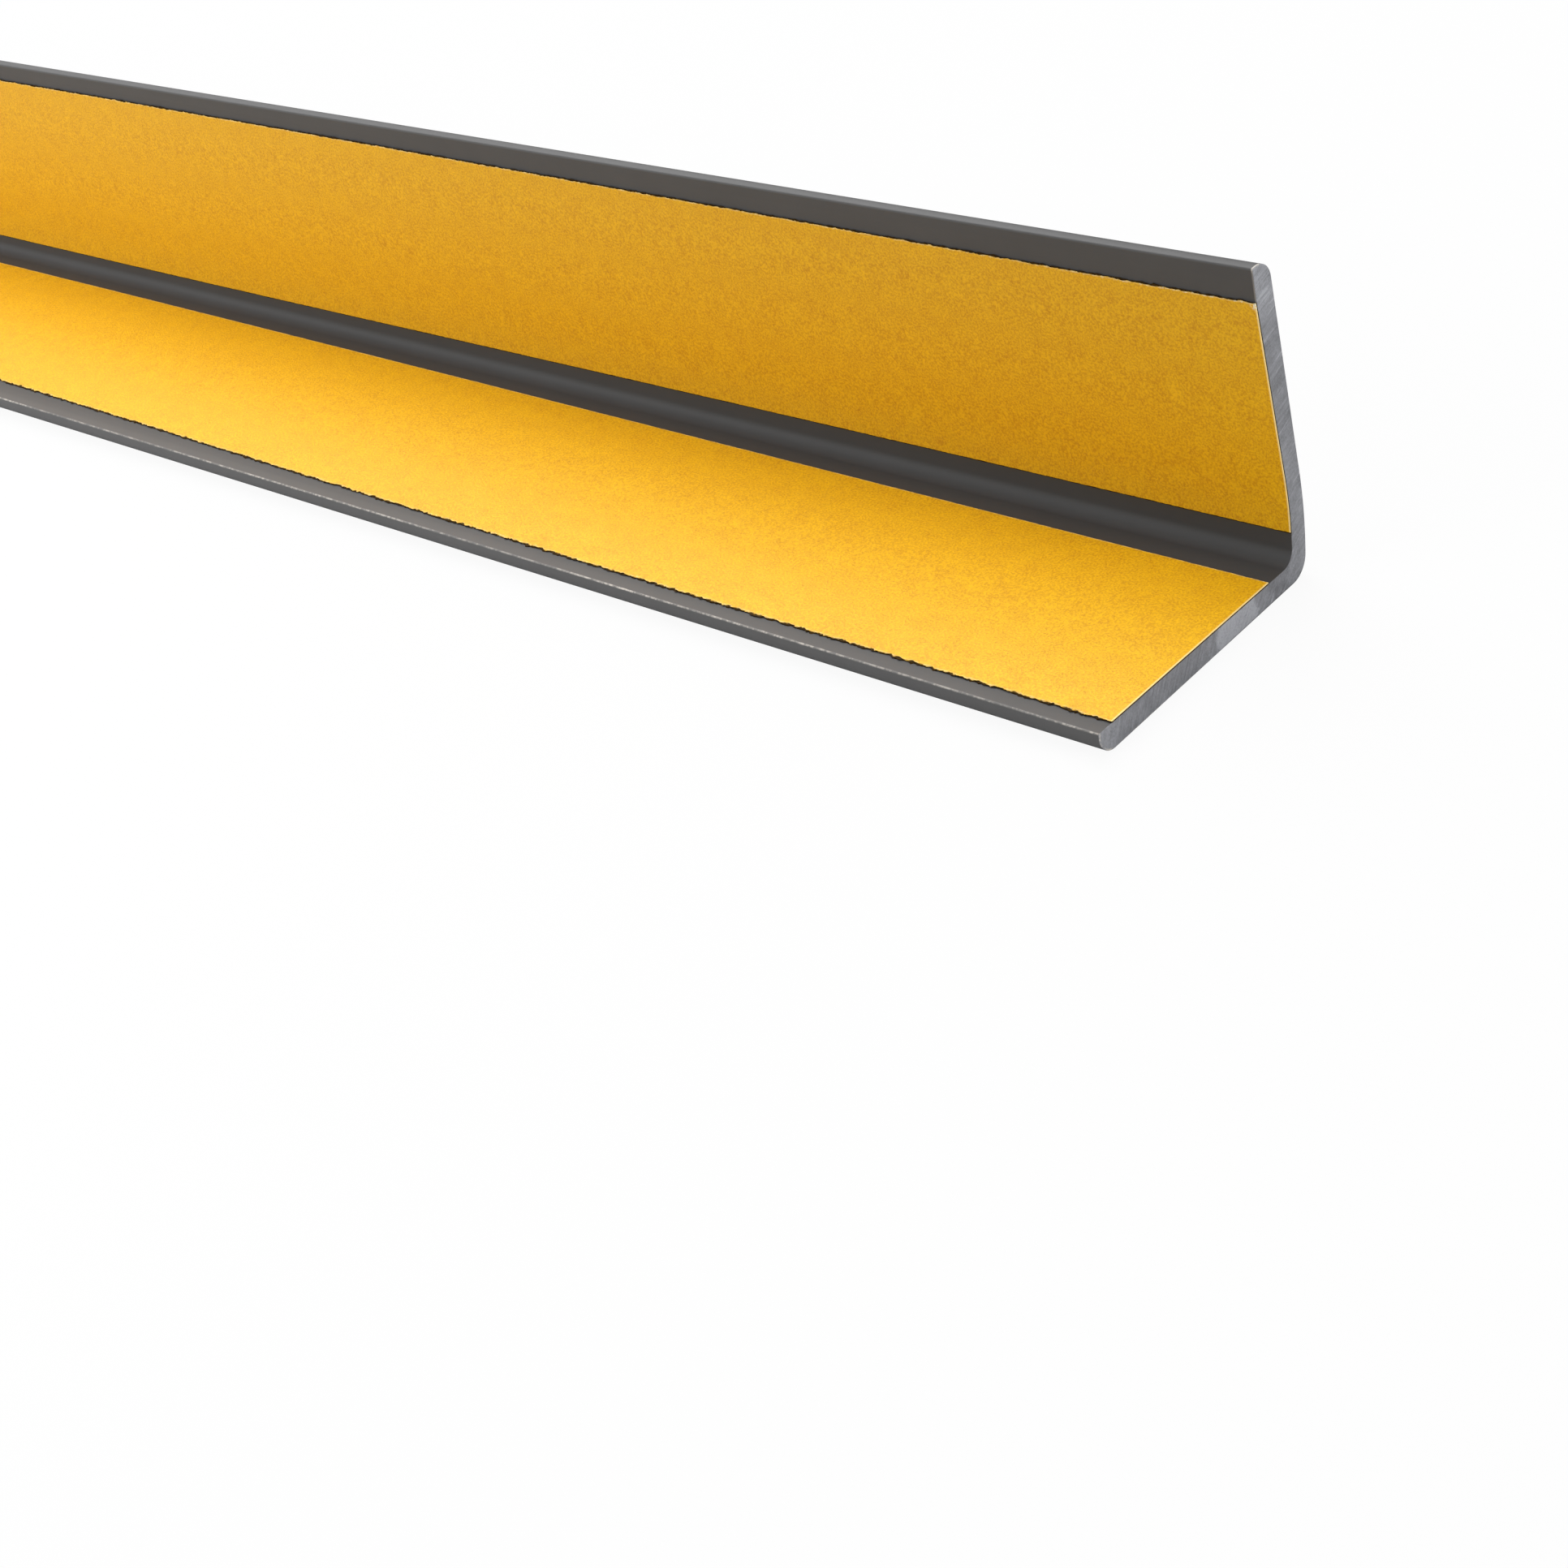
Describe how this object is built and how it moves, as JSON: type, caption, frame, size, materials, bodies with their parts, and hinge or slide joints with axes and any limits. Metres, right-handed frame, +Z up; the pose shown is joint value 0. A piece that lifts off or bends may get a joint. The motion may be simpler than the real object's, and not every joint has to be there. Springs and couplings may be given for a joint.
{
  "type": "self-adhesive plastic angle profile",
  "caption": "L-shaped plastic angle profile with rounded lips and a gently bent upright flange, lined inside with adhesive strips under yellow paper liners.",
  "frame": {"origin": "centre of the bounding box in plan, on the underside of the base flange", "axes": "+X along the length, +Y from the base flange's lip towards the upright flange at the back, +Z up"},
  "size_m": [1, 0.04, 0.0392],
  "materials": {
    "profile_plastic": "dark grey extruded plastic, satin, with faint die lines along its length and lighter sawn ends",
    "adhesive_film": "thin dark double-sided adhesive film, seen only at its edges",
    "liner_paper": "deep yellow release paper, dull, with a fine mottled fibre grain"
  },
  "bodies": {
    "root": {"angle_profile": "profile_plastic", "adhesive_strip_base": "adhesive_film", "adhesive_strip_upright": "adhesive_film", "release_liner_base": "liner_paper", "release_liner_upright": "liner_paper"}
  },
  "joints": []
}
